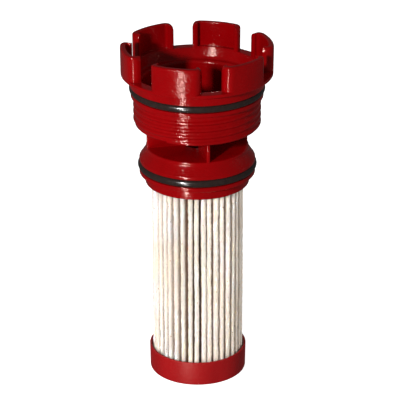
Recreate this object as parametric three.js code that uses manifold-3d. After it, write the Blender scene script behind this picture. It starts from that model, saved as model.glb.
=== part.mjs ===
// Screw-in fuel filter element: a castellated, threaded plastic head carrying a pleated paper cartridge.
// Units are millimetres. +Z runs up the filter's axis and the origin is the centre of its bottom face.
import * as THREE from 'three';
import { mergeVertices } from 'three/addons/utils/BufferGeometryUtils.js';
import Module from 'manifold-3d';

const kernel = await Module();
kernel.setup();

// ---------- driving dimensions ----------

const FIT_GAP = 0.1; // clearance left between pieces that touch or are bonded
const OVERLAP = 0.5; // how far bodies that become one moulding sink into each other
const CUT_MARGIN = 2; // how far a cutter reaches past what it cuts

const ELEMENT = {
  height: 125.8, // bottom face to the tops of the tabs
  crownRadius: 27,
  paperRadius: 16.85,
};

const CROWN = {
  tabPairs: 3, // slots run straight through, so three slots make six tabs
  slotWidth: 7,
  tabDepth: 4, // radial depth of a tab, from its outer face to its ribs' inner ends
  skinThickness: 2, // a tab is a thin curved skin with a rib at each end
  ribThickness: 2,
  cornerRadius: 3, // upright outer corners of the tabs, seen from above
  topCornerRadius: 1.8, // top corners of the tabs, seen from the side
  rimRadius: 0.8, // rounding along the outer top edge
  ledgeZ: 116.6, // floor of the slots
  pocketFloorZ: 117,
  flangeZ: 115.4, // underside of the crown, which stops on the housing
  draft: 0.1, // how much the outer wall tapers in towards the flange
};

const PLUG = {
  bottomZ: 96.6,
  floorZ: 99.8, // floor of the well inside the plug
  wellRadius: 19.3,
  ledgeZ: 112.9, // step between the crown's bore and the well
  boreFootRadius: 21.6, // the crown's bore narrows to this at the ledge
  wellRimRadius: 1.8,
  floorChamfer: 0.5, // round the well's floor
  landRadius: 24.1, // land between the crown and the upper seal
  lowerLandRadius: 23.5,
  lowerLandZ: 107.3,
  threadCoreRadius: 22.1,
  leadInHeight: 0.5,
};

const THREAD = {
  crestRadius: 22.7,
  pitch: 2.5,
  turns: 4,
  startZ: 96.9, // height of the crest where the thread begins
  startAngle: -41, // degrees round from the front
  rootWidth: 2.2,
  shoulderWidth: 1.4, // width where the flanks turn into the crest
  shoulderShare: 0.75, // of the thread's height
  crestWidth: 0.46,
  fadeAngle: 30, // degrees over which each end of the thread runs out
  endShare: 0.15, // of its full height, where the thread begins and ends
  stepsPerTurn: 36,
};

const CAGE = {
  radius: 18.4,
  deckZ: 88.5, // top of the deck that the fuel crosses on its way out
  deckThickness: 2.2,
  portRadius: 4.2, // hole in the deck, where the clean fuel comes up
  webCount: 4,
  webThickness: 1.2,
  neckZ: 87.3, // where the neck meets the sloping shoulder
};

const COLLAR = {
  radius: 20.75,
  bottomZ: 78.2,
  shoulderRadius: 20.4,
  shoulderZ: 84.3,
  edgeZ: 83.9,
  chamberRadius: 15.2,
  socketRadius: 17, // socket in the underside that takes the upper end cap's hub
  socketZ: 80.2,
};

const SEAL = {
  sectionRadius: 1.45,
  upper: { centreRadius: 22.65, z: 110.2 },
  lower: { centreRadius: 19.85, z: 81.3 },
};

const UPPER_CAP = {
  radius: 18.65,
  bottomZ: 74.5,
  seatZ: 77, // underside of the disc that the paper is bonded to
  hubTopZ: 80.1,
  boreRadius: 8.4,
  rimClearance: 0.25, // between the paper and the rim round it
};

const LOWER_CAP = {
  topRadius: 17.8,
  bottomRadius: 17.65,
  height: 9.2,
  wallThickness: 0.75,
  floorThickness: 2,
  edgeRadius: 0.5,
  rimChamfer: 0.2,
  spigotRadius: 6.7,
  spigotThickness: 1.2,
  spigotHeight: 3.2,
};

const BOND_THICKNESS = { upper: 2, lower: 3 };

const PAPER = {
  pleatCount: 40,
  firstPleatAngle: 4, // degrees round from +X
  innerRadius: 9.6,
  thickness: 0.45,
  outerFoldRadius: 0.72, // to the middle of the sheet
  innerFoldRadius: 0.36,
  arcSteps: 4,
};

const CORE = {
  radius: 8.2,
  wall: 1.3,
  slotRows: 7,
  slotsRound: 6,
  slotWidth: 4,
  slotHeight: 6.4,
  topClearance: 0.4,
};

const SEAM = { thickness: 0.3, width: 4.6, radius: 13.2, inset: 0.5 }; // inset from the ends of the paper

const SEGMENTS = { head: 64, ring: 48, ringSection: 10, tube: 36, cornerArc: 5, edgeArc: 3 };

const FINISH = {
  redPlastic: { color: 0xb00812, roughness: 0.25, metalness: 0 },
  redEndCap: { color: 0xa80d18, roughness: 0.4, metalness: 0 },
  rubber: { color: 0x1d1b1c, roughness: 0.45, metalness: 0 },
  paper: { color: 0xefe6d2, roughness: 0.95, metalness: 0 },
  adhesive: { color: 0xcabb93, roughness: 0.6, metalness: 0 },
  blackPlastic: { color: 0x1b1b1d, roughness: 0.5, metalness: 0 },
};

// ---------- shared helpers ----------

const radians = THREE.MathUtils.degToRad;

/** Merges shared vertices and drops the flat triangles that a lathe leaves on its axis. */
function closedGeometry(geometry) {
  const bare = geometry.clone();
  bare.deleteAttribute('normal');
  bare.deleteAttribute('uv');
  const merged = mergeVertices(bare, 1e-4);
  const corners = merged.index.array;
  const kept = [];
  for (let i = 0; i < corners.length; i += 3) {
    const [a, b, c] = corners.slice(i, i + 3);
    if (a !== b && b !== c && c !== a) {
      kept.push(a, b, c);
    }
  }
  merged.setIndex(kept);
  return merged;
}

/** Turns a geometry into a solid that can be joined to others or cut. */
function toSolid(geometry) {
  const closed = closedGeometry(geometry);
  const mesh = new kernel.Mesh({
    numProp: 3,
    vertProperties: new Float32Array(closed.attributes.position.array),
    triVerts: new Uint32Array(closed.index.array),
  });
  return new kernel.Manifold(mesh);
}

/** Turns a solid back into a geometry. */
function fromSolid(solid) {
  const mesh = solid.getMesh();
  const geometry = new THREE.BufferGeometry();
  geometry.setAttribute('position', new THREE.BufferAttribute(mesh.vertProperties, 3));
  geometry.setIndex(new THREE.BufferAttribute(mesh.triVerts, 1));
  return geometry;
}

/** Revolves [radius, z] points about the Z axis. Points run upwards on the outside of the solid. */
function revolve(points, segments) {
  const profile = points.map(([radius, z]) => new THREE.Vector2(radius, z));
  const geometry = new THREE.LatheGeometry(profile, segments);
  return geometry.rotateX(Math.PI / 2);
}

/** Revolves an outline that doesn't touch the axis, closing it on its first point. */
function revolveRing(points, segments) {
  return revolve([...points, points[0]], segments);
}

/** Points of an arc in a profile, from one angle to another in degrees, both ends included. */
function arc(centreX, centreY, radius, fromAngle, toAngle, steps) {
  const points = [];
  for (let i = 0; i <= steps; i += 1) {
    const angle = radians(fromAngle + ((toAngle - fromAngle) * i) / steps);
    points.push([centreX + radius * Math.cos(angle), centreY + radius * Math.sin(angle)]);
  }
  return points;
}

/** Extrudes a closed outline of [x, y] points upwards from one height to another. */
function prism(outline, bottomZ, topZ) {
  const shape = new THREE.Shape(outline.map(([x, y]) => new THREE.Vector2(x, y)));
  const geometry = new THREE.ExtrudeGeometry(shape, { depth: topZ - bottomZ, bevelEnabled: false });
  return geometry.translate(0, 0, bottomZ);
}

/** A box centred on the axis in plan, turned about Z by an angle in degrees. */
function turnedBox(width, length, bottomZ, topZ, angle) {
  const box = new THREE.BoxGeometry(width, length, topZ - bottomZ);
  box.translate(0, 0, (bottomZ + topZ) / 2);
  return box.rotateZ(radians(angle));
}

function meshOf(name, geometry, finish) {
  const shaped = geometry.index ? geometry : closedGeometry(geometry);
  shaped.computeVertexNormals();
  const mesh = new THREE.Mesh(shaped, new THREE.MeshStandardMaterial(finish));
  mesh.name = name;
  return mesh;
}

// ---------- head: crown, threaded plug, outlet cage and collar ----------

/** Crown ring and plug as one turned body, before the slots and pockets are cut. */
function crownAndPlug() {
  const { crownRadius, height } = ELEMENT;
  const { sectionRadius, upper } = SEAL;
  const crownInner = crownRadius - CROWN.tabDepth;
  const grooveRadius = upper.centreRadius - sectionRadius - FIT_GAP / 2;
  const grooveHalf = sectionRadius + FIT_GAP / 2;
  const rimCentreRadius = crownRadius - CROWN.rimRadius;
  const { ledgeZ, wellRadius, wellRimRadius } = PLUG;
  const profile = [
    [0, PLUG.bottomZ],
    [PLUG.threadCoreRadius - PLUG.leadInHeight, PLUG.bottomZ],
    [PLUG.threadCoreRadius, PLUG.bottomZ + PLUG.leadInHeight],
    [PLUG.threadCoreRadius, PLUG.lowerLandZ - PLUG.leadInHeight],
    [PLUG.lowerLandRadius, PLUG.lowerLandZ],
    [PLUG.lowerLandRadius, upper.z - grooveHalf],
    [grooveRadius, upper.z - grooveHalf],
    [grooveRadius, upper.z + grooveHalf],
    [PLUG.landRadius, upper.z + grooveHalf],
    [PLUG.landRadius, CROWN.flangeZ],
    [crownRadius - CROWN.draft, CROWN.flangeZ],
    ...arc(rimCentreRadius, height - CROWN.rimRadius, CROWN.rimRadius, 0, 90, SEGMENTS.edgeArc),
    [crownInner, height],
    [crownInner, CROWN.ledgeZ],
    [PLUG.boreFootRadius, ledgeZ],
    ...arc(wellRadius + wellRimRadius, ledgeZ - wellRimRadius, wellRimRadius, 90, 180, SEGMENTS.edgeArc),
    [wellRadius, PLUG.floorZ + PLUG.floorChamfer],
    [wellRadius - PLUG.floorChamfer, PLUG.floorZ],
    [0, PLUG.floorZ],
  ];
  return toSolid(revolve(profile, SEGMENTS.head));
}

/** Plan outline of one slot: a straight strip whose ends flare round the tabs' upright corners. */
function slotOutline() {
  const half = CROWN.slotWidth / 2;
  const outer = ELEMENT.crownRadius;
  const corner = CROWN.cornerRadius;
  const cornerX = half + corner;
  const cornerY = Math.sqrt((outer - corner) ** 2 - cornerX ** 2);
  const tangentAngle = THREE.MathUtils.radToDeg(Math.atan2(cornerY, cornerX));
  const reach = outer + CUT_MARGIN;
  const flare = arc(cornerX, cornerY, corner, 180, tangentAngle, SEGMENTS.cornerArc);
  const [tipX, tipY] = flare[flare.length - 1];
  const end = [[half, 0], ...flare, [(tipX * reach) / outer, (tipY * reach) / outer]];
  const mirrored = end.map(([x, y]) => [-x, y]).reverse();
  const front = [...end, ...mirrored];
  const back = front.map(([x, y]) => [-x, -y]);
  return [...front.slice(1, -1), ...back.slice(1, -1)];
}

/** Side outline of one slot's mouth, which rounds the tabs' top corners. */
function mouthOutline() {
  const half = CROWN.slotWidth / 2;
  const radius = CROWN.topCornerRadius;
  const centreZ = ELEMENT.height - radius;
  const side = arc(half + radius, centreZ, radius, 180, 90, SEGMENTS.edgeArc);
  const top = [half + radius, ELEMENT.height + CUT_MARGIN];
  const right = [...side, top];
  const left = right.map(([x, z]) => [-x, z]).reverse();
  return [...right, ...left];
}

/** Everything removed from the crown ring to leave one straight slot across it. */
function slotCutter(angle) {
  const aboveTop = ELEMENT.height + CUT_MARGIN;
  const strip = toSolid(prism(slotOutline(), CROWN.ledgeZ, aboveTop).rotateZ(radians(angle)));
  const length = 2 * (ELEMENT.crownRadius + CUT_MARGIN);
  const mouth = prism(mouthOutline(), -length / 2, length / 2);
  mouth.rotateX(Math.PI / 2);
  mouth.rotateZ(radians(angle));
  return strip.add(toSolid(mouth));
}

/** The six pockets that leave each tab as a thin skin with an end rib on either side. */
function pocketCutter(slotAngles) {
  const outer = ELEMENT.crownRadius - CROWN.skinThickness;
  const inner = ELEMENT.crownRadius - CROWN.tabDepth - CUT_MARGIN;
  const aboveTop = ELEMENT.height + CUT_MARGIN;
  const outline = [
    [inner, CROWN.pocketFloorZ],
    [outer, CROWN.pocketFloorZ],
    [outer, aboveTop],
    [inner, aboveTop],
  ];
  let pockets = toSolid(revolveRing(outline, SEGMENTS.head));
  const ribbedWidth = CROWN.slotWidth + 2 * CROWN.ribThickness;
  for (const angle of slotAngles) {
    const strip = turnedBox(ribbedWidth, 3 * outer, CROWN.ledgeZ, aboveTop + CUT_MARGIN, angle);
    pockets = pockets.subtract(toSolid(strip));
  }
  return pockets;
}

/** Height of the thread above its core at a distance along the helix, fading out at both ends. */
function threadRise(turned, totalAngle) {
  const fromEnd = Math.min(turned, totalAngle - turned);
  const full = THREAD.crestRadius - PLUG.threadCoreRadius;
  return full * Math.min(1, THREAD.endShare + fromEnd / THREAD.fadeAngle);
}

/** The external thread as a ridge wound round the plug, cut off flush with the plug's bottom. */
function threadRidge() {
  const totalAngle = THREAD.turns * 360;
  const steps = Math.round(THREAD.turns * THREAD.stepsPerTurn);
  const core = PLUG.threadCoreRadius;
  const sunk = core - OVERLAP;
  const section = (rise) => [
    [sunk, -THREAD.rootWidth / 2],
    [core + rise * THREAD.shoulderShare, -THREAD.shoulderWidth / 2],
    [core + rise, -THREAD.crestWidth / 2],
    [core + rise, THREAD.crestWidth / 2],
    [core + rise * THREAD.shoulderShare, THREAD.shoulderWidth / 2],
    [sunk, THREAD.rootWidth / 2],
  ];
  const count = section(1).length;
  const positions = [];
  for (let i = 0; i <= steps; i += 1) {
    const turned = (totalAngle * i) / steps;
    const angle = radians(THREAD.startAngle + turned - 90);
    const z = THREAD.startZ + (THREAD.pitch * turned) / 360;
    for (const [radius, offset] of section(threadRise(turned, totalAngle))) {
      positions.push(radius * Math.cos(angle), radius * Math.sin(angle), z + offset);
    }
  }
  const triangles = [];
  for (let i = 0; i < steps; i += 1) {
    for (let j = 0; j < count; j += 1) {
      const near = i * count;
      const far = near + count;
      const next = (j + 1) % count;
      triangles.push(near + j, far + j, near + next, near + next, far + j, far + next);
    }
  }
  const last = steps * count;
  for (let j = 1; j < count - 1; j += 1) {
    triangles.push(0, j, j + 1);
    triangles.push(last, last + j + 1, last + j);
  }
  const geometry = new THREE.BufferGeometry();
  geometry.setAttribute('position', new THREE.Float32BufferAttribute(positions, 3));
  geometry.setIndex(triangles);
  const belowPlug = turnedBox(3 * sunk, 3 * sunk, PLUG.bottomZ - THREAD.pitch, PLUG.bottomZ, 0);
  return toSolid(geometry).subtract(toSolid(belowPlug));
}

/** Deck, shoulder, lower seal groove and the socket underneath, all turned about the axis. */
function deckAndCollar() {
  const { sectionRadius, lower } = SEAL;
  const grooveRadius = lower.centreRadius - sectionRadius - FIT_GAP / 2;
  const grooveHalf = sectionRadius + FIT_GAP / 2;
  const deckUnderside = CAGE.deckZ - CAGE.deckThickness;
  const outline = [
    [COLLAR.socketRadius, COLLAR.bottomZ],
    [COLLAR.radius, COLLAR.bottomZ],
    [COLLAR.radius, lower.z - grooveHalf],
    [grooveRadius, lower.z - grooveHalf],
    [grooveRadius, lower.z + grooveHalf],
    [COLLAR.radius, lower.z + grooveHalf],
    [COLLAR.radius, COLLAR.edgeZ],
    [COLLAR.shoulderRadius, COLLAR.shoulderZ],
    [CAGE.radius, CAGE.neckZ],
    [CAGE.radius, CAGE.deckZ],
    [CAGE.portRadius, CAGE.deckZ],
    [CAGE.portRadius, deckUnderside],
    [COLLAR.chamberRadius, deckUnderside],
    [COLLAR.chamberRadius, COLLAR.socketZ],
    [COLLAR.socketRadius, COLLAR.socketZ],
  ];
  return toSolid(revolveRing(outline, SEGMENTS.head));
}

/** One upright web of the outlet cage, reaching from the deck's port out to the neck's radius. */
function cageWeb(angle) {
  const length = CAGE.radius - CAGE.portRadius;
  const bottomZ = CAGE.deckZ - OVERLAP;
  const topZ = PLUG.bottomZ + OVERLAP;
  const web = new THREE.BoxGeometry(CAGE.webThickness, length, topZ - bottomZ);
  web.translate(0, -(CAGE.portRadius + length / 2), (bottomZ + topZ) / 2);
  return toSolid(web.rotateZ(radians(angle)));
}

function threadedHead() {
  const slotAngles = [];
  for (let i = 0; i < CROWN.tabPairs; i += 1) {
    slotAngles.push((i * 180) / CROWN.tabPairs);
  }
  let head = crownAndPlug().add(threadRidge());
  for (const angle of slotAngles) {
    head = head.subtract(slotCutter(angle));
  }
  head = head.subtract(pocketCutter(slotAngles)).add(deckAndCollar());
  for (let i = 0; i < CAGE.webCount; i += 1) {
    head = head.add(cageWeb((i * 360) / CAGE.webCount));
  }
  return fromSolid(head);
}

// ---------- seals ----------

function oRing({ centreRadius, z }) {
  const ring = new THREE.TorusGeometry(
    centreRadius,
    SEAL.sectionRadius,
    SEGMENTS.ringSection,
    SEGMENTS.ring,
  );
  return closedGeometry(ring.translate(0, 0, z));
}

// ---------- end caps and bonds ----------

function upperEndCap() {
  const rimInner = ELEMENT.paperRadius + UPPER_CAP.rimClearance;
  const shoulderZ = COLLAR.bottomZ - FIT_GAP;
  const hubRadius = COLLAR.socketRadius - FIT_GAP;
  const outline = [
    [rimInner, UPPER_CAP.bottomZ],
    [UPPER_CAP.radius, UPPER_CAP.bottomZ],
    [UPPER_CAP.radius, shoulderZ],
    [hubRadius, shoulderZ],
    [hubRadius, UPPER_CAP.hubTopZ],
    [UPPER_CAP.boreRadius, UPPER_CAP.hubTopZ],
    [UPPER_CAP.boreRadius, UPPER_CAP.seatZ],
    [rimInner, UPPER_CAP.seatZ],
  ];
  return revolveRing(outline, SEGMENTS.ring);
}

function lowerEndCap() {
  const { bottomRadius, topRadius, height, wallThickness, floorThickness } = LOWER_CAP;
  const { edgeRadius, rimChamfer } = LOWER_CAP;
  const spigotInner = LOWER_CAP.spigotRadius - LOWER_CAP.spigotThickness;
  const spigotTop = floorThickness + LOWER_CAP.spigotHeight;
  const profile = [
    [0, 0],
    ...arc(bottomRadius - edgeRadius, edgeRadius, edgeRadius, -90, 0, SEGMENTS.edgeArc),
    [topRadius, height - rimChamfer],
    [topRadius - rimChamfer, height],
    [topRadius - wallThickness, height],
    [topRadius - wallThickness, floorThickness],
    [LOWER_CAP.spigotRadius, floorThickness],
    [LOWER_CAP.spigotRadius, spigotTop],
    [spigotInner, spigotTop],
    [spigotInner, floorThickness],
    [0, floorThickness],
  ];
  return revolve(profile, SEGMENTS.ring);
}

/** A flat ring of cured adhesive between an end cap and the ends of the pleats. */
function bondRing(bottomZ, topZ) {
  const inner = CORE.radius + FIT_GAP;
  const outer = ELEMENT.paperRadius + FIT_GAP;
  const outline = [
    [inner, bottomZ],
    [outer, bottomZ],
    [outer, topZ],
    [inner, topZ],
  ];
  return revolveRing(outline, SEGMENTS.tube);
}

const UPPER_BOND = {
  bottomZ: UPPER_CAP.seatZ - BOND_THICKNESS.upper,
  topZ: UPPER_CAP.seatZ - FIT_GAP,
};

const LOWER_BOND = {
  bottomZ: LOWER_CAP.floorThickness + FIT_GAP,
  topZ: LOWER_CAP.floorThickness + BOND_THICKNESS.lower,
};

// ---------- pleated paper and its seam ----------

/** One pleat of the folded sheet, offset to one side of the sheet's middle, as [radius-wise, sideways]. */
function pleatSide(offset) {
  const outerCentre = ELEMENT.paperRadius - PAPER.thickness / 2 - PAPER.outerFoldRadius;
  const outerFold = PAPER.outerFoldRadius + offset;
  return arc(outerCentre, 0, outerFold, -90, 90, PAPER.arcSteps);
}

/** The inward fold between two pleats, offset to the same side of the sheet. */
function valleySide(offset) {
  const innerCentre = PAPER.innerRadius + PAPER.thickness / 2 + PAPER.innerFoldRadius;
  const innerFold = PAPER.innerFoldRadius - offset;
  return arc(innerCentre, 0, innerFold, -90, -270, PAPER.arcSteps - 1);
}

/** Closed outline of one face of the pleated sheet, all the way round. */
function pleatOutline(offset) {
  const points = [];
  const pitch = 360 / PAPER.pleatCount;
  const place = ([along, across], angle) => {
    const turn = radians(angle);
    const x = along * Math.cos(turn) - across * Math.sin(turn);
    const y = along * Math.sin(turn) + across * Math.cos(turn);
    points.push(new THREE.Vector2(x, y));
  };
  for (let i = 0; i < PAPER.pleatCount; i += 1) {
    const tipAngle = PAPER.firstPleatAngle + i * pitch;
    pleatSide(offset).forEach((point) => place(point, tipAngle));
    valleySide(offset).forEach((point) => place(point, tipAngle + pitch / 2));
  }
  return points;
}

function pleatedPaper() {
  const bottomZ = LOWER_BOND.topZ + FIT_GAP;
  const topZ = UPPER_BOND.bottomZ - FIT_GAP;
  const shape = new THREE.Shape(pleatOutline(PAPER.thickness / 2));
  shape.holes.push(new THREE.Path(pleatOutline(-PAPER.thickness / 2)));
  const geometry = new THREE.ExtrudeGeometry(shape, { depth: topZ - bottomZ, bevelEnabled: false });
  return geometry.translate(0, 0, bottomZ);
}

/** The strip of adhesive that joins the sheet's two ends, between two pleats at the back. */
function seamStrip() {
  const bottomZ = LOWER_BOND.topZ + FIT_GAP + SEAM.inset;
  const topZ = UPPER_BOND.bottomZ - FIT_GAP - SEAM.inset;
  const strip = new THREE.BoxGeometry(SEAM.width, SEAM.thickness, topZ - bottomZ);
  strip.translate(SEAM.radius, 0, (bottomZ + topZ) / 2);
  const halfPitch = 180 / PAPER.pleatCount;
  return strip.rotateZ(radians(90 + halfPitch + PAPER.firstPleatAngle));
}

// ---------- core tube ----------

function coreTube() {
  const bottomZ = LOWER_CAP.floorThickness + FIT_GAP;
  const topZ = UPPER_CAP.hubTopZ - CORE.topClearance;
  const inner = CORE.radius - CORE.wall;
  const outline = [
    [inner, bottomZ],
    [CORE.radius, bottomZ],
    [CORE.radius, topZ],
    [inner, topZ],
  ];
  let tube = toSolid(revolveRing(outline, SEGMENTS.tube));
  const firstZ = LOWER_BOND.topZ + CORE.slotHeight;
  const lastZ = UPPER_BOND.bottomZ - CORE.slotHeight;
  for (let row = 0; row < CORE.slotRows; row += 1) {
    const middleZ = firstZ + ((lastZ - firstZ) * row) / (CORE.slotRows - 1);
    const low = middleZ - CORE.slotHeight / 2;
    const high = middleZ + CORE.slotHeight / 2;
    for (let i = 0; i < CORE.slotsRound / 2; i += 1) {
      const angle = (i * 360) / CORE.slotsRound;
      const bar = turnedBox(CORE.slotWidth, 3 * CORE.radius, low, high, angle);
      tube = tube.subtract(toSolid(bar));
    }
  }
  return fromSolid(tube);
}

// ---------- assembly ----------

const filter = new THREE.Group();
filter.name = 'fuel_filter';
filter.add(
  meshOf('threaded_head', threadedHead(), FINISH.redPlastic),
  meshOf('upper_o_ring', oRing(SEAL.upper), FINISH.rubber),
  meshOf('lower_o_ring', oRing(SEAL.lower), FINISH.rubber),
  meshOf('upper_end_cap', closedGeometry(upperEndCap()), FINISH.redEndCap),
  meshOf('upper_bond', closedGeometry(bondRing(UPPER_BOND.bottomZ, UPPER_BOND.topZ)), FINISH.adhesive),
  meshOf('pleated_paper', closedGeometry(pleatedPaper()), FINISH.paper),
  meshOf('seam_strip', closedGeometry(seamStrip()), FINISH.adhesive),
  meshOf('core_tube', coreTube(), FINISH.blackPlastic),
  meshOf('lower_bond', closedGeometry(bondRing(LOWER_BOND.bottomZ, LOWER_BOND.topZ)), FINISH.adhesive),
  meshOf('lower_end_cap', closedGeometry(lowerEndCap()), FINISH.redEndCap),
);

export default filter;
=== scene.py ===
"""Looks of a screw-in fuel filter element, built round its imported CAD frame.

Lengths here are in millimetres, and become metres when a mesh is finished. +Z runs up the filter's
axis. Plan angles are in degrees from +X, so the front slot and the front web lie at -90.
"""

import math
import random

import bmesh
import bpy
from mathutils import Matrix, Vector, noise


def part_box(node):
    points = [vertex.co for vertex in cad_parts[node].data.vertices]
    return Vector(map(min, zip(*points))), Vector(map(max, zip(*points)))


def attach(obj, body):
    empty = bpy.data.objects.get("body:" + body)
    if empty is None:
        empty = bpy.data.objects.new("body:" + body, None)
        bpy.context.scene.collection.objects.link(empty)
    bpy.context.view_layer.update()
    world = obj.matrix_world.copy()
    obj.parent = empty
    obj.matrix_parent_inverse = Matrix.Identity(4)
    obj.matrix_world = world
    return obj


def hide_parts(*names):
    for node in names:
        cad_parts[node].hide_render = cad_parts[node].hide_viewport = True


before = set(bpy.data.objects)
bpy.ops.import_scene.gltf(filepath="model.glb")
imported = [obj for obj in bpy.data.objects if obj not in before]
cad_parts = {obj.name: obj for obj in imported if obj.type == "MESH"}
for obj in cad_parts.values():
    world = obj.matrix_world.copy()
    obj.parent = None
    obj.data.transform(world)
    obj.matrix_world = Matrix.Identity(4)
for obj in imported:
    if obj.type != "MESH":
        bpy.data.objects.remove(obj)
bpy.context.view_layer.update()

# ---------- dimensions, the same as the CAD's ----------

MM = 0.001
FRONT = -90.0


def extent(name):
    """Lowest and highest corner of a CAD node, in millimetres."""
    low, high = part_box(name)
    return low / MM, high / MM


HEAD_LOW, HEAD_HIGH = extent("threaded_head")
PAPER_LOW, PAPER_HIGH = extent("pleated_paper")
UPPER_CAP_LOW, UPPER_CAP_HIGH = extent("upper_end_cap")
UPPER_BOND_LOW, UPPER_BOND_HIGH = extent("upper_bond")
LOWER_BOND_LOW, LOWER_BOND_HIGH = extent("lower_bond")
CUP_HIGH = extent("lower_end_cap")[1]

TOP_Z = HEAD_HIGH.z
CROWN_RADIUS = HEAD_HIGH.x
CROWN_DRAFT = 0.1
FLANGE_Z = 115.4
LEDGE_Z = 116.6
POCKET_FLOOR_Z = 117.0
POCKET_RIM_RADIUS = 0.9
TAB_COUNT = 6
TAB_DEPTH = 4.0
BORE_RADIUS = CROWN_RADIUS - TAB_DEPTH
TAB_WALL = 2.0
TAB_SINK = 0.4
RIB_END_DEPTH = 0.5
BORE_FOOT_RADIUS = 21.6
SLOT_WIDTH = 7.0
CORNER_RADIUS = 3.0
MOUTH_RADIUS = 1.8
RIM_OUTER_RADIUS = 0.7
RIM_INNER_RADIUS = 0.4
SLOT_FLOOR_FILLET = 0.5

PLUG_BOTTOM_Z = 96.6
PLUG_CORE_RADIUS = 22.1
LEAD_IN = 0.5
LAND_RADIUS = 24.1
LOWER_LAND_RADIUS = 23.5
LOWER_LAND_Z = 107.3
WELL_RADIUS = 19.3
WELL_LEDGE_Z = 112.9
WELL_FLOOR_Z = 99.8
LEDGE_FILLET = 1.6
WELL_RIM_RADIUS = 1.8
WELL_FLOOR_FILLET = 0.8

THREAD_CREST_RADIUS = 22.7
THREAD_PITCH = 2.5
THREAD_TURNS = 4
THREAD_START_Z = 96.9
THREAD_START_ANGLE = -131.0
THREAD_ROOT_WIDTH = 2.1
THREAD_CREST_WIDTH = 0.4
THREAD_FADE_ANGLE = 30.0
THREAD_END_SHARE = 0.1
THREAD_SINK = 0.5

CAGE_RADIUS = 18.4
DECK_Z = 88.5
DECK_THICKNESS = 2.2
PORT_RADIUS = 4.2
WEB_COUNT = 4
WEB_THICKNESS = 1.2
WEB_CORNER_RADIUS = 0.35
WEB_SINK = 0.3
WEB_PORT_GAP = 0.05
NECK_Z = 87.3
DECK_RIM_RADIUS = 0.55
COVE_RADIUS = 1.8
PORT_FILLET = 0.4

COLLAR_RADIUS = 20.75
SHOULDER_RADIUS = 20.4
SHOULDER_Z = 84.3
COLLAR_EDGE_Z = 83.9
CHAMBER_RADIUS = 15.2
SOCKET_RADIUS = 17.0
SOCKET_Z = 80.2
COLLAR_EDGE_FILLET = 0.7
SHOULDER_FILLET = 0.9
CHAMBER_FILLET = 0.5

SEAL_SECTION_RADIUS = 1.45
UPPER_SEAL = {"radius": 22.65, "z": 110.2}
LOWER_SEAL = {"radius": 19.85, "z": 81.3}
SEAL_GAP = 0.01
FIT_GAP = 0.1

UPPER_CAP_SHOULDER_Z = 78.1
UPPER_CAP_SEAT_Z = 77.0
UPPER_CAP_BORE = 8.4
UPPER_CAP_RIM_INNER = 17.1
BOND_BORE = 8.3
BOND_FILLET = 0.4

CUP_WALL = 0.75
CUP_FLOOR = 2.0
CUP_TAPER = 0.15
CUP_EDGE_RADIUS = 0.5
CUP_LIP_FILLET = 0.22
CUP_FLOOR_FILLET = 0.4
SPIGOT_OUTER = 6.7
SPIGOT_INNER = 5.5
SPIGOT_TOP_Z = 5.2

PLEAT_COUNT = 40
PLEAT_PHASE = 4.0
PAPER_THICKNESS = 0.45
PAPER_INNER_RADIUS = 9.6
OUTER_FOLD_RADIUS = 0.72
INNER_FOLD_RADIUS = 0.36

# Fillets that many edges share, from the sharpest to the softest.
FINE_FILLET = 0.15
SMALL_FILLET = 0.2
EDGE_FILLET = 0.25
SOFT_FILLET = 0.3
SKIN_GAP = 0.02  # keeps two surfaces that are joined from lying in one plane

# ---------- mesh helpers ----------

HEAD_SEGMENTS = 256
RING_SEGMENTS = 192
SEAL_SECTION_SEGMENTS = 28
RIB_END_STEPS = 7
CORNER_STEPS = 12
SKIN_STEPS = 12
RIM_OUTER_STEPS = 7
RIM_INNER_STEPS = 5
POCKET_STEPS = 32
THREAD_STEPS_PER_TURN = 160
THREAD_FLANK_POINTS = 7
LONGEST_CUT = 0.48  # share of an edge that one corner's fillet may take up
SMOOTH_ANGLE = math.radians(38)


def arc(centre, radius, start, end, steps):
    """Points round an arc from one angle to another in degrees, both ends included."""
    points = []
    for i in range(steps + 1):
        angle = math.radians(start + (end - start) * i / steps)
        x = centre[0] + radius * math.cos(angle)
        y = centre[1] + radius * math.sin(angle)
        points.append(Vector((x, y)))
    return points


def rounded(corners, steps=5):
    """A path through (x, y, fillet radius) corners, with each corner rounded by its fillet."""
    path = []
    last = len(corners) - 1
    for i, (x, y, radius) in enumerate(corners):
        here = Vector((x, y))
        if radius == 0 or i in (0, last):
            path.append(here)
            continue
        before = Vector(corners[i - 1][:2]) - here
        after = Vector(corners[i + 1][:2]) - here
        half = before.angle(after) / 2
        longest = LONGEST_CUT * min(before.length, after.length)
        cut = min(radius / math.tan(half), longest)
        before.normalize()
        after.normalize()
        centre = here + (before + after).normalized() * cut / math.cos(half)
        first = here + before * cut - centre
        turn = first.angle_signed(here + after * cut - centre)
        for k in range(steps + 1):
            path.append(centre + Matrix.Rotation(-turn * k / steps, 2) @ first)
    return path


def add_grid(mesh, rows, close_rows=False, close_columns=False):
    """Adds quads between rows of points, and returns the rows of vertices."""
    made = [[mesh.verts.new(point) for point in row] for row in rows]
    row_count = len(made) if close_rows else len(made) - 1
    column_count = len(made[0]) if close_columns else len(made[0]) - 1
    for i in range(row_count):
        upper = made[(i + 1) % len(made)]
        for j in range(column_count):
            k = (j + 1) % len(upper)
            mesh.faces.new((made[i][j], made[i][k], upper[k], upper[j]))
    return made


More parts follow.
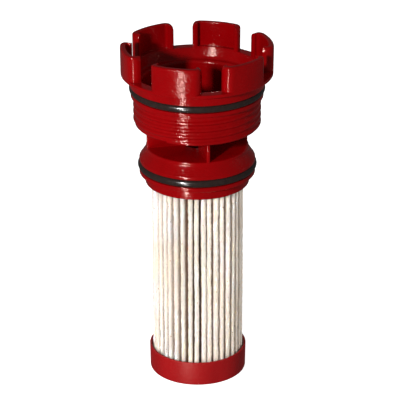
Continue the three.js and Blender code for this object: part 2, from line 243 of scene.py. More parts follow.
def add_lathe(mesh, profile, segments, ring=False):
    """Turns a profile of (radius, z) about the axis: a closed ring, or a path from axis to axis."""
    turned = profile if ring else profile[1:-1]
    rows = []
    for radius, z in turned:
        angles = [2 * math.pi * i / segments for i in range(segments)]
        rows.append([(radius * math.cos(a), radius * math.sin(a), z) for a in angles])
    made = add_grid(mesh, rows, close_rows=ring, close_columns=True)
    if ring:
        return
    for row, pole in ((made[0], profile[0]), (made[-1], profile[-1])):
        tip = mesh.verts.new((0, 0, pole[1]))
        for i in range(segments):
            mesh.faces.new((row[i], row[(i + 1) % segments], tip))


def add_prism(mesh, outline, bottom_z, top_z):
    """Extrudes a closed plan outline between two heights."""
    rows = [[(x, y, z) for x, y in outline] for z in (bottom_z, top_z)]
    for row in add_grid(mesh, rows, close_columns=True):
        mesh.faces.new(row)


def finished(name, mesh, material, slot, *nodes):
    """Makes a piece from a mesh in millimetres, standing for the named CAD nodes."""
    bmesh.ops.recalc_face_normals(mesh, faces=mesh.faces)
    bmesh.ops.scale(mesh, vec=(MM, MM, MM), verts=mesh.verts)
    data = bpy.data.meshes.new(name)
    mesh.to_mesh(data)
    mesh.free()
    data.shade_smooth()
    data.set_sharp_from_angle(angle=SMOOTH_ANGLE)
    data.materials.append(material)
    piece = bpy.data.objects.new(name, data)
    bpy.context.scene.collection.objects.link(piece)
    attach(piece, "root")
    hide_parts(*nodes)
    return piece


# ---------- material helpers ----------

FIRST_COLOUR, SECOND_COLOUR, MIXED_COLOUR = 6, 7, 2  # a Mix node's colour sockets
EDGE_SAMPLES = 4


def add_node(tree, kind, inputs=None, **settings):
    """Adds a shader node. An input's value is a number, a colour or another node's output."""
    made = tree.nodes.new(kind)
    for key, value in settings.items():
        setattr(made, key, value)
    for socket, value in (inputs or {}).items():
        if isinstance(value, bpy.types.NodeSocket):
            tree.links.new(value, made.inputs[socket])
        else:
            made.inputs[socket].default_value = value
    return made


def new_material(name, settings):
    """A material, its tree, its Principled shader and its surface coordinates in millimetres."""
    material = bpy.data.materials.new(name)
    material.use_nodes = True
    tree = material.node_tree
    shader = tree.nodes["Principled BSDF"]
    for socket, value in settings.items():
        shader.inputs[socket].default_value = value
    place = add_node(tree, "ShaderNodeTexCoord").outputs["Object"]
    per_mm = (1 / MM, 1 / MM, 1 / MM)
    scaled = add_node(tree, "ShaderNodeMapping", {"Vector": place, "Scale": per_mm})
    return material, tree, shader, scaled.outputs["Vector"]


def grain(tree, place, size, detail=2.0, stretch=(1, 1, 1), roughness=0.5):
    """Noise whose features are about size millimetres across, from 0 to 1."""
    squeeze = tuple(1 / s for s in stretch)
    mapping = add_node(tree, "ShaderNodeMapping", {"Vector": place, "Scale": squeeze})
    inputs = {
        "Vector": mapping.outputs["Vector"],
        "Scale": 1 / size,
        "Detail": detail,
        "Roughness": roughness,
    }
    return add_node(tree, "ShaderNodeTexNoise", inputs).outputs["Fac"]


def remap(tree, value, low, high, to_low, to_high):
    """Value stretched from one range to another, and held inside it."""
    inputs = {
        "Value": value,
        "From Min": low,
        "From Max": high,
        "To Min": to_low,
        "To Max": to_high,
    }
    return add_node(tree, "ShaderNodeMapRange", inputs).outputs["Result"]


def clouded(tree, cloud, low, high):
    """Noise stretched so that its usual values run from low to high."""
    return remap(tree, cloud, 0.3, 0.7, low, high)


def mixed(tree, factor, first, second):
    """A blend of two colours."""
    inputs = {"Factor": factor, FIRST_COLOUR: first, SECOND_COLOUR: second}
    return add_node(tree, "ShaderNodeMix", inputs, data_type="RGBA").outputs[MIXED_COLOUR]


def spots(tree, place, spacing, radius, softness=0.5):
    """Round specks, 1 at their middles and 0 away from them, some millimetres apart."""
    inputs = {"Vector": place, "Scale": 1 / spacing}
    distance = add_node(tree, "ShaderNodeTexVoronoi", inputs).outputs["Distance"]
    size = radius / spacing
    return remap(tree, distance, size * (1 - softness), size, 1.0, 0.0)


def bumped(tree, shader, layers, edge_radius=None):
    """Bump of (height value, depth in millimetres) layers, over edges softened by a radius."""
    normal = None
    if edge_radius:
        inputs = {"Radius": edge_radius * MM}
        bevel = add_node(tree, "ShaderNodeBevel", inputs, samples=EDGE_SAMPLES)
        normal = bevel.outputs["Normal"]
    for height, depth in layers:
        inputs = {"Height": height, "Strength": 1.0, "Distance": depth * MM}
        if normal:
            inputs["Normal"] = normal
        normal = add_node(tree, "ShaderNodeBump", inputs).outputs["Normal"]
    tree.links.new(normal, shader.inputs["Normal"])


# ---------- materials ----------

# Two shades of each material, which a noise mixes.
RED_SHADES = ((0.265, 0.0004, 0.0016, 1), (0.23, 0.0003, 0.0013, 1))
CUP_SHADES = ((0.36, 0.004, 0.006, 1), (0.31, 0.003, 0.005, 1))
RUBBER_SHADES = ((0.012, 0.007, 0.006, 1), (0.03, 0.018, 0.015, 1))
PAPER_SHADES = ((0.71, 0.625, 0.545, 1), (0.65, 0.545, 0.46, 1))
ADHESIVE_SHADES = ((0.62, 0.50, 0.33, 1), (0.80, 0.70, 0.50, 1))
BLACK_SHADES = ((0.010, 0.010, 0.011, 1), (0.028, 0.027, 0.028, 1))

GLOSS_TINT = (1.0, 0.68, 0.6, 1)
DUST = (0.12, 0.11, 0.10, 1)
FIBRE_BROWN = (0.46, 0.34, 0.26, 1)
PIT_BROWN = (0.36, 0.22, 0.13, 1)
# Painted shade: a brown laid on the paper deep in its folds, where shade falls between the pleats.
PAINTED_FOLD_SHADE = (0.34, 0.21, 0.14, 1)
PAINTED_SHADE_START = 0.9  # how far in from the tips of the pleats the painted fold shade begins
PAINTED_SHADE_END = 3.2

RED_ROUGHNESS = 0.12
CUP_ROUGHNESS = 0.4
SCUFF_ROUGHNESS = 0.15


def moulded_red(name, shades, roughness):
    """Glossy red moulding: faint flow marks, a sparkling fine grain, and a few small scuffs."""
    settings = {"Specular IOR Level": 0.5, "Specular Tint": GLOSS_TINT}
    material, tree, shader, place = new_material(name, settings)
    flow = grain(tree, place, size=9.0, detail=4.0, stretch=(1, 1, 2.5))
    colour = mixed(tree, remap(tree, flow, 0.35, 0.65, 0.0, 1.0), *shades)
    tree.links.new(colour, shader.inputs["Base Color"])
    cloud = grain(tree, place, size=2.2, detail=5.0)
    base = clouded(tree, cloud, roughness - 0.04, roughness + 0.06)
    scuff = grain(tree, place, size=0.5, detail=3.0, stretch=(6, 1, 1))
    rubbed = remap(tree, scuff, 0.66, 0.74, 0.0, SCUFF_ROUGHNESS)
    summed = add_node(tree, "ShaderNodeMath", {0: base, 1: rubbed}, operation="ADD")
    tree.links.new(summed.outputs[0], shader.inputs["Roughness"])
    ripple = grain(tree, place, size=4.5, detail=1.0)
    sparkle = grain(tree, place, size=0.42, detail=1.0, stretch=(2.5, 2.5, 1))
    bumped(tree, shader, [(ripple, 0.05), (sparkle, 0.085)], edge_radius=0.16)
    return material


def seal_rubber():
    """Black rubber with a soft sheen, fine moulding grain and a little pale dust."""
    material, tree, shader, place = new_material("seal_rubber", {"Specular IOR Level": 0.8})
    cloud = grain(tree, place, size=1.6, detail=5.0)
    black = mixed(tree, cloud, *RUBBER_SHADES)
    dust = spots(tree, place, spacing=1.7, radius=0.1)
    tree.links.new(mixed(tree, dust, black, DUST), shader.inputs["Base Color"])
    tree.links.new(clouded(tree, cloud, 0.14, 0.22), shader.inputs["Roughness"])
    bumped(tree, shader, [(grain(tree, place, size=0.6, detail=3.0), 0.012)])
    return material


def distance_from_axis(tree, place):
    """How far a point lies from the filter's axis, in millimetres."""
    inputs = {0: place, 1: (1, 1, 0)}
    flat = add_node(tree, "ShaderNodeVectorMath", inputs, operation="MULTIPLY").outputs["Vector"]
    return add_node(tree, "ShaderNodeVectorMath", {0: flat}, operation="LENGTH").outputs["Value"]


def filter_paper():
    """Off-white filter paper: matted fibres, small brown pits, and painted shade that turns it
    browner deep in the folds.
    """
    settings = {
        "Specular IOR Level": 0.15,
        "Roughness": 0.95,
        "Subsurface Weight": 0.8,
        "Subsurface Radius": (1.0, 0.8, 0.6),
        "Subsurface Scale": 1.9 * MM,
    }
    material, tree, shader, place = new_material("filter_paper", settings)
    cloud = grain(tree, place, size=7.0, detail=5.0, stretch=(1, 1, 3))
    sheet = mixed(tree, clouded(tree, cloud, 0, 1), *PAPER_SHADES)
    fibre = grain(tree, place, size=0.22, detail=4.0, stretch=(1, 1, 5), roughness=0.7)
    felted = mixed(tree, remap(tree, fibre, 0.52, 0.72, 0, 0.5), sheet, FIBRE_BROWN)
    pit = spots(tree, place, spacing=2.8, radius=0.28)
    pitted = mixed(tree, pit, felted, PIT_BROWN)
    # Painted shade: the colour turns browner the deeper a point lies between the pleats.
    deep = PAPER_HIGH.x - PAINTED_SHADE_END
    shallow = PAPER_HIGH.x - PAINTED_SHADE_START
    fold = remap(tree, distance_from_axis(tree, place), deep, shallow, 1.0, 0.0)
    tree.links.new(mixed(tree, fold, pitted, PAINTED_FOLD_SHADE), shader.inputs["Base Color"])
    cockle = grain(tree, place, size=0.9, detail=3.0, stretch=(1, 1, 1.6))
    pressed = remap(tree, pit, 0, 1, 1, 0)
    bumped(tree, shader, [(cockle, 0.2), (fibre, 0.08), (pressed, 0.15)])
    return material


def cured_adhesive():
    """Cream adhesive, slightly see-through, with small bubbles."""
    settings = {"Roughness": 0.4, "Subsurface Weight": 0.3, "Subsurface Scale": 1.0 * MM}
    material, tree, shader, place = new_material("cured_adhesive", settings)
    cloud = grain(tree, place, size=3.0, detail=4.0)
    tree.links.new(mixed(tree, cloud, *ADHESIVE_SHADES), shader.inputs["Base Color"])
    bubbles = spots(tree, place, spacing=1.4, radius=0.3, softness=1.0)
    bumped(tree, shader, [(bubbles, 0.1), (grain(tree, place, size=1.5), 0.15)])
    return material


def moulded_black():
    """Satin black plastic of the core tube."""
    material, tree, shader, place = new_material("moulded_black", {"Specular IOR Level": 0.4})
    cloud = grain(tree, place, size=2.5, detail=5.0)
    tree.links.new(mixed(tree, cloud, *BLACK_SHADES), shader.inputs["Base Color"])
    tree.links.new(clouded(tree, cloud, 0.4, 0.6), shader.inputs["Roughness"])
    bumped(tree, shader, [(grain(tree, place, size=0.4, detail=3.0), 0.02)], edge_radius=0.15)
    return material


RED = moulded_red("moulded_red", RED_SHADES, RED_ROUGHNESS)
CUP_RED = moulded_red("moulded_cup_red", CUP_SHADES, CUP_ROUGHNESS)
RUBBER = seal_rubber()
PAPER = filter_paper()
ADHESIVE = cured_adhesive()
BLACK = moulded_black()

# ---------- head ----------


def crown_and_plug_profile():
    """Profile of the plug, groove, seal lands, crown flange and well, from axis to axis."""
    groove = UPPER_SEAL["radius"] - SEAL_SECTION_RADIUS - FIT_GAP / 2
    half = SEAL_SECTION_RADIUS + FIT_GAP / 2
    low, high = UPPER_SEAL["z"] - half, UPPER_SEAL["z"] + half
    return rounded(
        [
            (0, PLUG_BOTTOM_Z, 0),
            (PLUG_CORE_RADIUS - LEAD_IN, PLUG_BOTTOM_Z, EDGE_FILLET),
            (PLUG_CORE_RADIUS, PLUG_BOTTOM_Z + LEAD_IN, EDGE_FILLET),
            (PLUG_CORE_RADIUS, LOWER_LAND_Z - LEAD_IN, SOFT_FILLET),
            (LOWER_LAND_RADIUS, LOWER_LAND_Z, SOFT_FILLET),
            (LOWER_LAND_RADIUS, low, SMALL_FILLET),
            (groove, low, SMALL_FILLET),
            (groove, high, SMALL_FILLET),
            (LAND_RADIUS, high, SMALL_FILLET),
            (LAND_RADIUS, FLANGE_Z, SOFT_FILLET),
            (CROWN_RADIUS - CROWN_DRAFT, FLANGE_Z, SOFT_FILLET),
            (CROWN_RADIUS - CROWN_DRAFT, LEDGE_Z, EDGE_FILLET),
            (BORE_RADIUS, LEDGE_Z, SLOT_FLOOR_FILLET),
            (BORE_FOOT_RADIUS, WELL_LEDGE_Z, LEDGE_FILLET),
            (WELL_RADIUS, WELL_LEDGE_Z, WELL_RIM_RADIUS),
            (WELL_RADIUS, WELL_FLOOR_Z, WELL_FLOOR_FILLET),
            (0, WELL_FLOOR_Z, 0),
        ]
    )


def deck_and_collar_profile():
    """Deck with its port, shoulder, lower seal groove, chamber and socket, as one closed ring."""
    groove = LOWER_SEAL["radius"] - SEAL_SECTION_RADIUS - FIT_GAP / 2
    half = SEAL_SECTION_RADIUS + FIT_GAP / 2
    low, high = LOWER_SEAL["z"] - half, LOWER_SEAL["z"] + half
    underside = DECK_Z - DECK_THICKNESS
    start = ((SOCKET_RADIUS + COLLAR_RADIUS) / 2, HEAD_LOW.z, 0)
    return rounded(
        [
            start,
            (COLLAR_RADIUS, HEAD_LOW.z, SOFT_FILLET),
            (COLLAR_RADIUS, low, FINE_FILLET),
            (groove, low, SMALL_FILLET),
            (groove, high, SMALL_FILLET),
            (COLLAR_RADIUS, high, FINE_FILLET),
            (COLLAR_RADIUS, COLLAR_EDGE_Z, COLLAR_EDGE_FILLET),
            (SHOULDER_RADIUS, SHOULDER_Z, SHOULDER_FILLET),
            (CAGE_RADIUS, NECK_Z, COVE_RADIUS),
            (CAGE_RADIUS, DECK_Z, DECK_RIM_RADIUS),
            (PORT_RADIUS, DECK_Z, PORT_FILLET),
            (PORT_RADIUS, underside, SOFT_FILLET),
            (CHAMBER_RADIUS, underside, CHAMBER_FILLET),
            (CHAMBER_RADIUS, SOCKET_Z, SMALL_FILLET),
            (SOCKET_RADIUS, SOCKET_Z, SMALL_FILLET),
            (SOCKET_RADIUS, HEAD_LOW.z, SMALL_FILLET),
            start,
        ]
    )[:-1]


def half_tab_path(offset):
    """Plan path of half a tab's wall, from a rib's rounded end to the middle, offset outwards."""
    half_sector = math.pi / TAB_COUNT
    along = Vector((math.cos(half_sector), math.sin(half_sector)))
    across = Vector((math.sin(half_sector), -math.cos(half_sector)))
    rib_middle = (SLOT_WIDTH + TAB_WALL) / 2
    skin_middle = CROWN_RADIUS - TAB_WALL / 2
    corner_across = SLOT_WIDTH / 2 + CORNER_RADIUS
    corner_along = math.sqrt((CROWN_RADIUS - CORNER_RADIUS) ** 2 - corner_across**2)
    corner = across * corner_across + along * corner_along
    inner_end = math.sqrt(BORE_RADIUS**2 - rib_middle**2)
    path = []
    for i in range(1, RIB_END_STEPS + 1):
        turned = math.pi / 2 * i / RIB_END_STEPS
        reach = inner_end + RIB_END_DEPTH * (1 - math.cos(turned))
        path.append(across * (rib_middle - offset * math.sin(turned)) + along * reach)
    wall_angle = math.degrees(half_sector) + 90
    skin_angle = math.degrees(math.atan2(corner.y, corner.x))
    bend = CORNER_RADIUS - TAB_WALL / 2 + offset
    path += arc(corner, bend, wall_angle, skin_angle, CORNER_STEPS)[:-1]
    path += arc((0, 0), skin_middle + offset, skin_angle, 0, SKIN_STEPS)
    return path


def mouth_drop(point):
    """How far the top of a tab drops at a plan point, to round the tab's top corners."""
    half_sector = math.pi / TAB_COUNT
    across = abs(point.x * math.sin(half_sector) - abs(point.y) * math.cos(half_sector))
    inside = max(0.0, MOUTH_RADIUS - (across - SLOT_WIDTH / 2))
    return MOUTH_RADIUS - math.sqrt(max(0.0, MOUTH_RADIUS**2 - inside**2))


def tab_section():
    """(offset, depth below the top) of a tab wall's section, from its outer foot over the top."""
    half = TAB_WALL / 2
    foot = TOP_Z - LEDGE_Z + TAB_SINK
    outer_centre = (half - RIM_OUTER_RADIUS, RIM_OUTER_RADIUS)
    inner_centre = (RIM_INNER_RADIUS - half, RIM_INNER_RADIUS)
    outer = arc(outer_centre, RIM_OUTER_RADIUS, 0, -90, RIM_OUTER_STEPS)
    inner = arc(inner_centre, RIM_INNER_RADIUS, -90, -180, RIM_INNER_STEPS)
    return [(half, foot), *outer, *inner, (-half, foot)]


def add_tab(mesh, turn):
    """One tab: a thin curved skin with a rib at each end and a shallow pocket behind it."""
    sections = []
    for offset, depth in tab_section():
        half = half_tab_path(offset)
        path = half + [Vector((p.x, -p.y)) for p in reversed(half[:-1])]
        row = []
        for point in path:
            drop = mouth_drop(point) if depth < TOP_Z - LEDGE_Z else 0
            shrink = 1 - CROWN_DRAFT * depth / (TOP_Z - FLANGE_Z) / CROWN_RADIUS
            row.append(turn @ Vector((point.x * shrink, point.y * shrink, TOP_Z - depth - drop)))
        sections.append(row)
    made = add_grid(mesh, sections, close_rows=True)
    mesh.faces.new([row[0] for row in made])
    mesh.faces.new([row[-1] for row in made])


def add_pocket_floor(mesh, turn):
    """The floor of the pocket behind a tab's skin, rounded over into the crown's bore."""
    rib_middle = (SLOT_WIDTH + TAB_WALL) / 2
    reach = 180 / TAB_COUNT - math.degrees(math.asin(rib_middle / BORE_RADIUS))
    outer = CROWN_RADIUS - TAB_WALL / 2
    low = LEDGE_Z - TAB_SINK
    profile = rounded(
        [
            (outer, low, 0),
            (outer, POCKET_FLOOR_Z, 0),
            (BORE_RADIUS, POCKET_FLOOR_Z, POCKET_RIM_RADIUS),
            (BORE_RADIUS, low, 0),
        ]
    )
    rows = []
    for p in arc((0, 0), 1.0, -reach, reach, POCKET_STEPS):
        rows.append([turn @ Vector((p.x * radius, p.y * radius, z)) for radius, z in profile])
    made = add_grid(mesh, rows, close_columns=True)
    mesh.faces.new(made[0])
    mesh.faces.new(made[-1])


def thread_section(rise, z):
    """(radius, z) points of the ridge's section: two eased flanks and a foot sunk into the plug."""
    section = []
    for side in (-1, 1):
        for k in range(THREAD_FLANK_POINTS):
            along = k / (THREAD_FLANK_POINTS - 1)
            share = along if side < 0 else 1 - along
            half = THREAD_ROOT_WIDTH / 2 + (THREAD_CREST_WIDTH - THREAD_ROOT_WIDTH) / 2 * share
            eased = share * share * (3 - 2 * share)
            radius = PLUG_CORE_RADIUS - SKIN_GAP + (rise + SKIN_GAP) * eased
            section.append((radius, z + side * half))
    foot = PLUG_CORE_RADIUS - THREAD_SINK
    section.append((foot, z + THREAD_ROOT_WIDTH / 2))
    section.append((foot, z - THREAD_ROOT_WIDTH / 2))
    return section


def add_thread(mesh):
    """The external thread, a ridge with a rounded crest wound round the plug."""
    full = THREAD_CREST_RADIUS - PLUG_CORE_RADIUS
    steps = THREAD_STEPS_PER_TURN * THREAD_TURNS
    total = 360.0 * THREAD_TURNS
    lowest = PLUG_BOTTOM_Z + SKIN_GAP
    rows = []
    for i in range(steps + 1):
        turned = total * i / steps
        from_end = min(turned, total - turned)
        rise = full * min(1, THREAD_END_SHARE + from_end / THREAD_FADE_ANGLE)
        angle = math.radians(THREAD_START_ANGLE + turned)
        cosine, sine = math.cos(angle), math.sin(angle)
        section = thread_section(rise, THREAD_START_Z + THREAD_PITCH * turned / 360)
        rows.append([(radius * cosine, radius * sine, max(z, lowest)) for radius, z in section])
    made = add_grid(mesh, rows, close_columns=True)
    mesh.faces.new(made[0])
    mesh.faces.new(made[-1])


def add_web(mesh, angle):
    """One upright web of the outlet cage, with rounded corners, from the port out to the neck."""
    half = WEB_THICKNESS / 2
    inner = PORT_RADIUS + WEB_PORT_GAP
    outer = CAGE_RADIUS - SKIN_GAP
    outline = rounded(
        [
            (inner, 0, 0),
            (inner, -half, WEB_CORNER_RADIUS),
            (outer, -half, WEB_CORNER_RADIUS),
            (outer, half, WEB_CORNER_RADIUS),
            (inner, half, WEB_CORNER_RADIUS),
            (inner, 0, 0),
        ]
    )[:-1]
    turn = Matrix.Rotation(math.radians(angle), 2)
    add_prism(mesh, [turn @ p for p in outline], DECK_Z - WEB_SINK, PLUG_BOTTOM_Z + WEB_SINK)


def joined(parts):
    """One closed mesh from overlapping closed ones, each made by a function that fills a bmesh."""
    objects = []
    for fill in parts:
        part = bmesh.new()
        fill(part)
        bmesh.ops.recalc_face_normals(part, faces=part.faces)
        data = bpy.data.meshes.new("part")
        part.to_mesh(data)
        part.free()
        made = bpy.data.objects.new("part", data)
        bpy.context.scene.collection.objects.link(made)
        objects.append(made)
    base = objects[0]
    for other in objects[1:]:
        union = base.modifiers.new("union", "BOOLEAN")
        union.operation = "UNION"
        union.solver = "MANIFOLD"
        union.object = other
    evaluated = base.evaluated_get(bpy.context.evaluated_depsgraph_get())
    whole = bmesh.new()
    whole.from_mesh(evaluated.to_mesh())
    for made in objects:
        bpy.data.objects.remove(made)
    return whole


def build_head():
    """Crown, plug, thread, cage and collar, which are one moulding."""
    parts = [
        lambda mesh: add_lathe(mesh, crown_and_plug_profile(), HEAD_SEGMENTS),
        lambda mesh: add_lathe(mesh, deck_and_collar_profile(), HEAD_SEGMENTS, ring=True),
        add_thread,
    ]
    for i in range(TAB_COUNT):
        turn = Matrix.Rotation(2 * math.pi * i / TAB_COUNT, 3, "Z")
        parts.append(lambda mesh, turn=turn: add_pocket_floor(mesh, turn))
        parts.append(lambda mesh, turn=turn: add_tab(mesh, turn))
    for i in range(WEB_COUNT):
        angle = FRONT + 360 / WEB_COUNT * i
        parts.append(lambda mesh, angle=angle: add_web(mesh, angle))
    return finished("head_moulding", joined(parts), RED, "red_plastic", "threaded_head")


# ---------- seals, caps, bonds and core ----------


def build_seal(name, seal, node):
    """A round-section rubber ring in its groove."""
    mesh = bmesh.new()
    centre = (seal["radius"], seal["z"])
    section = arc(centre, SEAL_SECTION_RADIUS - SEAL_GAP, 0, 360, SEAL_SECTION_SEGMENTS)[:-1]
    add_lathe(mesh, section, HEAD_SEGMENTS, ring=True)
    return finished(name, mesh, RUBBER, "seal_rubber", node)


def build_ring(name, corners, material, slot, node):
    """A turned ring from (radius, z, fillet) corners, the first of them on a straight side."""
    mesh = bmesh.new()
    profile = rounded([*corners, corners[0]])[:-1]
    add_lathe(mesh, profile, RING_SEGMENTS, ring=True)
    return finished(name, mesh, material, slot, node)


def build_upper_cap():
    """Cap bonded to the top of the pleats, with its hub pressed into the collar's socket."""
    low, high = UPPER_CAP_LOW.z, UPPER_CAP_HIGH.z
    outer = UPPER_CAP_HIGH.x
    hub = SOCKET_RADIUS - FIT_GAP
    corners = [
        ((UPPER_CAP_RIM_INNER + outer) / 2, low, 0),
        (outer, low, SOFT_FILLET),
        (outer, UPPER_CAP_SHOULDER_Z, EDGE_FILLET),
        (hub, UPPER_CAP_SHOULDER_Z, FINE_FILLET),
        (hub, high, SMALL_FILLET),
        (UPPER_CAP_BORE, high, SOFT_FILLET),
        (UPPER_CAP_BORE, UPPER_CAP_SEAT_Z, SMALL_FILLET),
        (UPPER_CAP_RIM_INNER, UPPER_CAP_SEAT_Z, SMALL_FILLET),
        (UPPER_CAP_RIM_INNER, low, EDGE_FILLET),
    ]
    return build_ring("upper_cap", corners, RED, "red_plastic", "upper_end_cap")


def build_bond(name, low, high, node):
    """A ring of adhesive with rounded edges."""
    outer = high.x
    corners = [
        ((BOND_BORE + outer) / 2, low.z, 0),
        (outer, low.z, SOFT_FILLET),
        (outer, high.z, BOND_FILLET),
        (BOND_BORE, high.z, BOND_FILLET),
        (BOND_BORE, low.z, SOFT_FILLET),
    ]
    return build_ring(name, corners, ADHESIVE, "adhesive", node)


def build_cup():
    """Lower end cap: a shallow cup with a rounded lower edge and a locating spigot inside."""
    mesh = bmesh.new()
    outer, top = CUP_HIGH.x, CUP_HIGH.z
    inner = outer - CUP_WALL
    profile = rounded(
        [
            (0, 0, 0),
            (outer - CUP_TAPER, 0, CUP_EDGE_RADIUS),
            (outer, top, CUP_LIP_FILLET),
            (inner, top, CUP_LIP_FILLET),
            (inner, CUP_FLOOR, CUP_FLOOR_FILLET),
            (SPIGOT_OUTER, CUP_FLOOR, SOFT_FILLET),
            (SPIGOT_OUTER, SPIGOT_TOP_Z, SOFT_FILLET),
            (SPIGOT_INNER, SPIGOT_TOP_Z, SOFT_FILLET),
            (SPIGOT_INNER, CUP_FLOOR, SOFT_FILLET),
            (0, CUP_FLOOR, 0),
        ]
    )
    add_lathe(mesh, profile, RING_SEGMENTS)
    return finished("lower_cup", mesh, CUP_RED, "red_end_cap_plastic", "lower_end_cap")


# ---------- pleated paper ----------

PLEAT_SEED = 11
PLEAT_ROWS = 150
TIP_STEPS = 8
VALLEY_STEPS = 4
SMALLEST_FOLD = 0.55
TIP_TURN = 1.1  # degrees that a tip may stand off its even pitch
VALLEY_TURN = 0.6
TIP_SHORTFALL = 0.2

# Noise along the folds. Spread sets neighbours apart, length is that of one wave in millimetres,
# and layer picks a part of the noise that nothing else uses.
DRIFT = {"size": 1.6, "spread": 3.7, "length": 26.0, "layer": 0.5}
CRINKLE = {"size": 0.8, "spread": 5.3, "length": 2.2, "layer": 7.5}
PINCH = {"size": 0.14, "spread": 9.1, "length": 0.9, "layer": 3.5}

# How far drift and crinkle move a tip or valley, in degrees, and a tip's depth, in millimetres.
TIP_WANDER = {"size": 0.45, "seed": 0}
DEPTH_WANDER = {"size": 0.08, "seed": 40}
VALLEY_WANDER = {"size": 0.3, "seed": 80}


def wave(kind, index, z, seed=0):
    """Smooth noise along a fold at a height."""
    at = Vector((index * kind["spread"] + seed, z / kind["length"], kind["layer"]))
    return kind["size"] * noise.noise(at)


def pleat_wander(index, z, seed):
    """Slow drift of a fold up the paper, with a little crinkle."""
    return wave(DRIFT, index, z, seed) + wave(CRINKLE, index, z, seed)


def turned_by(point, angle):
    """A plan point turned about the axis by an angle in degrees."""
    cosine, sine = math.cos(math.radians(angle)), math.sin(math.radians(angle))
    return Vector((point.x * cosine - point.y * sine, point.x * sine + point.y * cosine))


def tip_points(i, tip, z, offset):
    """Plan points round one outward fold."""
    centre = PAPER_HIGH.x - PAPER_THICKNESS / 2 - OUTER_FOLD_RADIUS
    depth = DEPTH_WANDER["size"] * (1 + pleat_wander(i, z, DEPTH_WANDER["seed"]))
    wander = TIP_WANDER["size"] * pleat_wander(i, z, TIP_WANDER["seed"])
    angle = PLEAT_PHASE + i * 360 / PLEAT_COUNT + tip["turn"] + wander
    fold = tip["fold"] + wave(PINCH, i, z) + offset
    around = arc((centre - tip["short"] - depth, 0), fold, -90, 90, TIP_STEPS)
    return [turned_by(p, angle) for p in around]


def valley_points(i, turn, z, offset):
    """Plan points round the inward fold after it."""
    centre = PAPER_INNER_RADIUS + PAPER_THICKNESS / 2 + INNER_FOLD_RADIUS
    wander = VALLEY_WANDER["size"] * pleat_wander(i, z, VALLEY_WANDER["seed"])
    angle = PLEAT_PHASE + (i + 0.5) * 360 / PLEAT_COUNT + turn + wander
    around = arc((centre, 0), INNER_FOLD_RADIUS - offset, -90, -270, VALLEY_STEPS)
    return [turned_by(p, angle) for p in around]


def paper_outline(z, offset, tips, valleys):
    """Plan outline of one face of the folded sheet at a height."""
    points = []
    for i in range(PLEAT_COUNT):
        points += tip_points(i, tips[i], z, offset)
        points += valley_points(i, valleys[i], z, offset)
    return points


def uneven_pleats():
    """How far each outward and inward fold is off its even shape and place."""
    dice = random.Random(PLEAT_SEED)
    tips, valleys = [], []
    for _ in range(PLEAT_COUNT):
        turn = dice.uniform(-TIP_TURN, TIP_TURN)
        short = dice.uniform(0, TIP_SHORTFALL)
        fold = dice.uniform(SMALLEST_FOLD, OUTER_FOLD_RADIUS)
        tips.append({"turn": turn, "short": short, "fold": fold})
        valleys.append(dice.uniform(-VALLEY_TURN, VALLEY_TURN))
    return tips, valleys


def build_paper():
    """One folded sheet whose pleats are slightly uneven in pitch, depth and fold."""
    tips, valleys = uneven_pleats()
    tall = PAPER_HIGH.z - PAPER_LOW.z
    heights = [PAPER_LOW.z + tall * i / PLEAT_ROWS for i in range(PLEAT_ROWS + 1)]
    mesh = bmesh.new()
    sides = []
    for offset in (PAPER_THICKNESS / 2, -PAPER_THICKNESS / 2):
        rows = []
        for z in heights:
            rows.append([(p.x, p.y, z) for p in paper_outline(z, offset, tips, valleys)])
        sides.append(add_grid(mesh, rows, close_columns=True))
    outside, inside = sides
    for end in (0, -1):
        count = len(outside[end])
        for j in range(count):
            k = (j + 1) % count
            mesh.faces.new((outside[end][j], outside[end][k], inside[end][k], inside[end][j]))
    return finished("paper_pleats", mesh, PAPER, "filter_paper", "pleated_paper")


# ---------- pieces that keep their CAD shape ----------


def repaint(name, material):
    """Gives a CAD node a better material."""
    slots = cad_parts[name].data.materials
    slots.clear()
    slots.append(material)


build_head()
build_seal("upper_seal", UPPER_SEAL, "upper_o_ring")
build_seal("lower_seal", LOWER_SEAL, "lower_o_ring")
build_upper_cap()
build_bond("upper_adhesive", UPPER_BOND_LOW, UPPER_BOND_HIGH, "upper_bond")
build_bond("lower_adhesive", LOWER_BOND_LOW, LOWER_BOND_HIGH, "lower_bond")
paper = build_paper()
build_cup()
repaint("core_tube", BLACK)
repaint("seam_strip", ADHESIVE)

# ---------- floor, light and camera ----------

CAMERA_AZIMUTH = -12.5
CAMERA_ELEVATION = 23.62
CAMERA_DISTANCE = 734.4
CAMERA_TARGET = (0.92, -0.2, 66.41)
CAMERA_LENS = 182.9
CAMERA_ROLL = -0.14

# The main lamp, and its image in the glossy table that the filter stood on.
LAMP_AZIMUTH = CAMERA_AZIMUTH - 28.0
LAMP_ELEVATION = 20.0
LAMP_DISTANCE = 900.0
LAMP_SIZE = 60.0
LAMP_POWER = 7.7
LAMP_CENTRE = (0, 0, 90)
TABLE_IMAGE_AZIMUTH = CAMERA_AZIMUTH - 23.0
TABLE_IMAGE_WIDTH = 60.0
TABLE_IMAGE_HEIGHT = 80.0
TABLE_GLOSS = 0.25

FILL_SIZE = 700.0
RIGHT_FILL = {"azimuth": CAMERA_AZIMUTH + 105.0, "elevation": 8.0, "power": 2.4}
BACK_FILL = {"azimuth": CAMERA_AZIMUTH + 200.0, "elevation": 0.0, "power": 3.0}
PAPER_FILL = {"azimuth": CAMERA_AZIMUTH + 62.0, "elevation": 12.0, "power": 3.4}

FLOOR_HALF = 3000.0
FLOOR_Z = -0.05
FLOOR_GLOW = 0.95
FLOOR_CLOUD_SIZE = 60.0
FLOOR_TONES = (0.86, 0.92)
FLOOR_BOUNCE = 0.45  # share of the floor's tone that lights the filter
SURROUND_LIGHT = 0.15
SURROUND_REFLECTION = 0.06


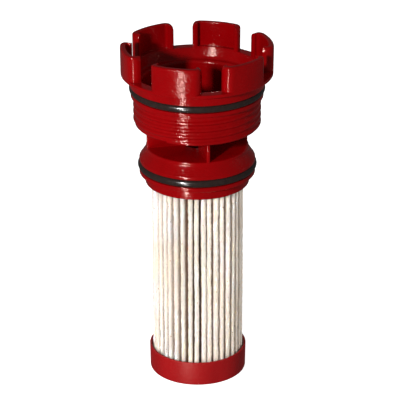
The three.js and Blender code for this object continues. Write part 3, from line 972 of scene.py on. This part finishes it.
def direction(azimuth, elevation):
    """Unit vector from the filter towards a camera or light. Azimuth 0 is -Y and 90 is +X."""
    a, e = math.radians(azimuth), math.radians(elevation)
    return Vector((math.sin(a) * math.cos(e), -math.cos(a) * math.cos(e), math.sin(e)))


def look(thing, at, roll=0.0):
    """Turns a camera or light towards a point."""
    back = thing.location - Vector(at) * MM
    turn = back.to_track_quat("Z", "Y").to_matrix() @ Matrix.Rotation(math.radians(roll), 3, "Z")
    thing.rotation_euler = turn.to_euler()


def add_camera():
    """The camera that was fitted to the photograph."""
    data = bpy.data.cameras.new("camera")
    data.lens = CAMERA_LENS
    camera = bpy.data.objects.new("camera", data)
    bpy.context.scene.collection.objects.link(camera)
    target = Vector(CAMERA_TARGET)
    camera.location = (target + direction(CAMERA_AZIMUTH, CAMERA_ELEVATION) * CAMERA_DISTANCE) * MM
    look(camera, CAMERA_TARGET, CAMERA_ROLL)
    bpy.context.scene.camera = camera


def add_lamp(name, azimuth, elevation, width, height, power):
    """A rectangular studio lamp aimed at the filter."""
    data = bpy.data.lights.new(name, "AREA")
    data.shape = "RECTANGLE"
    data.size = width * MM
    data.size_y = height * MM
    data.energy = power
    lamp = bpy.data.objects.new(name, data)
    bpy.context.scene.collection.objects.link(lamp)
    lamp.location = (Vector(LAMP_CENTRE) + direction(azimuth, elevation) * LAMP_DISTANCE) * MM
    look(lamp, LAMP_CENTRE)
    return lamp


def add_fill(name, fill):
    """A large weak lamp that lifts the shadows without showing as a highlight."""
    lamp = add_lamp(name, fill["azimuth"], fill["elevation"], FILL_SIZE, FILL_SIZE, fill["power"])
    lamp.visible_glossy = False
    return lamp


def add_floor():
    """A plain pale floor, over-exposed as it is seen but throwing little light at the filter."""
    mesh = bmesh.new()
    ends = (-FLOOR_HALF, FLOOR_HALF)
    add_grid(mesh, [[(x, y, FLOOR_Z) for x in ends] for y in ends])
    bmesh.ops.scale(mesh, vec=(MM, MM, MM), verts=mesh.verts)
    data = bpy.data.meshes.new("floor")
    mesh.to_mesh(data)
    mesh.free()
    settings = {"Roughness": 0.9, "Specular IOR Level": 0.1, "Emission Color": (1, 1, 1, 1)}
    material, tree, shader, place = new_material("floor_paper", settings)
    seen = add_node(tree, "ShaderNodeLightPath").outputs["Is Camera Ray"]
    cloud = remap(tree, grain(tree, place, FLOOR_CLOUD_SIZE), 0, 1, *FLOOR_TONES)
    shade = remap(tree, seen, 0, 1, FLOOR_BOUNCE, 2 * FLOOR_BOUNCE)
    tone = add_node(tree, "ShaderNodeMath", {0: cloud, 1: shade}, operation="MULTIPLY")
    tree.links.new(tone.outputs[0], shader.inputs["Base Color"])
    tree.links.new(remap(tree, seen, 0, 1, 0, FLOOR_GLOW), shader.inputs["Emission Strength"])
    data.materials.append(material)
    floor = bpy.data.objects.new("floor", data)
    floor.visible_shadow = False
    floor.visible_glossy = False
    bpy.context.scene.collection.objects.link(floor)


def add_surroundings():
    """White surroundings that light the filter less than they look."""
    world = bpy.data.worlds.new("surroundings")
    bpy.context.scene.world = world
    world.use_nodes = True
    tree = world.node_tree
    background = tree.nodes["Background"]
    background.inputs["Color"].default_value = (1, 1, 1, 1)
    path = add_node(tree, "ShaderNodeLightPath")
    glossy, seen = path.outputs["Is Glossy Ray"], path.outputs["Is Camera Ray"]
    lighting = remap(tree, glossy, 0, 1, SURROUND_LIGHT, SURROUND_REFLECTION)
    strength = add_node(tree, "ShaderNodeMath", {0: lighting, 1: seen}, operation="MAXIMUM")
    tree.links.new(strength.outputs[0], background.inputs["Strength"])


add_floor()
add_surroundings()
add_camera()
add_lamp("lamp", LAMP_AZIMUTH, LAMP_ELEVATION, LAMP_SIZE, LAMP_SIZE, LAMP_POWER)
add_lamp(
    "lamp_mirrored_by_table",
    TABLE_IMAGE_AZIMUTH,
    -LAMP_ELEVATION,
    TABLE_IMAGE_WIDTH,
    TABLE_IMAGE_HEIGHT,
    LAMP_POWER * TABLE_GLOSS,
)
add_fill("right_fill", RIGHT_FILL)
add_fill("back_fill", BACK_FILL)
paper_fill = add_fill("paper_fill", PAPER_FILL)
paper_fill.light_linking.receiver_collection = bpy.data.collections.new("lit_by_paper_fill")
paper_fill.light_linking.receiver_collection.objects.link(paper)
bpy.context.scene.view_settings.view_transform = "Standard"
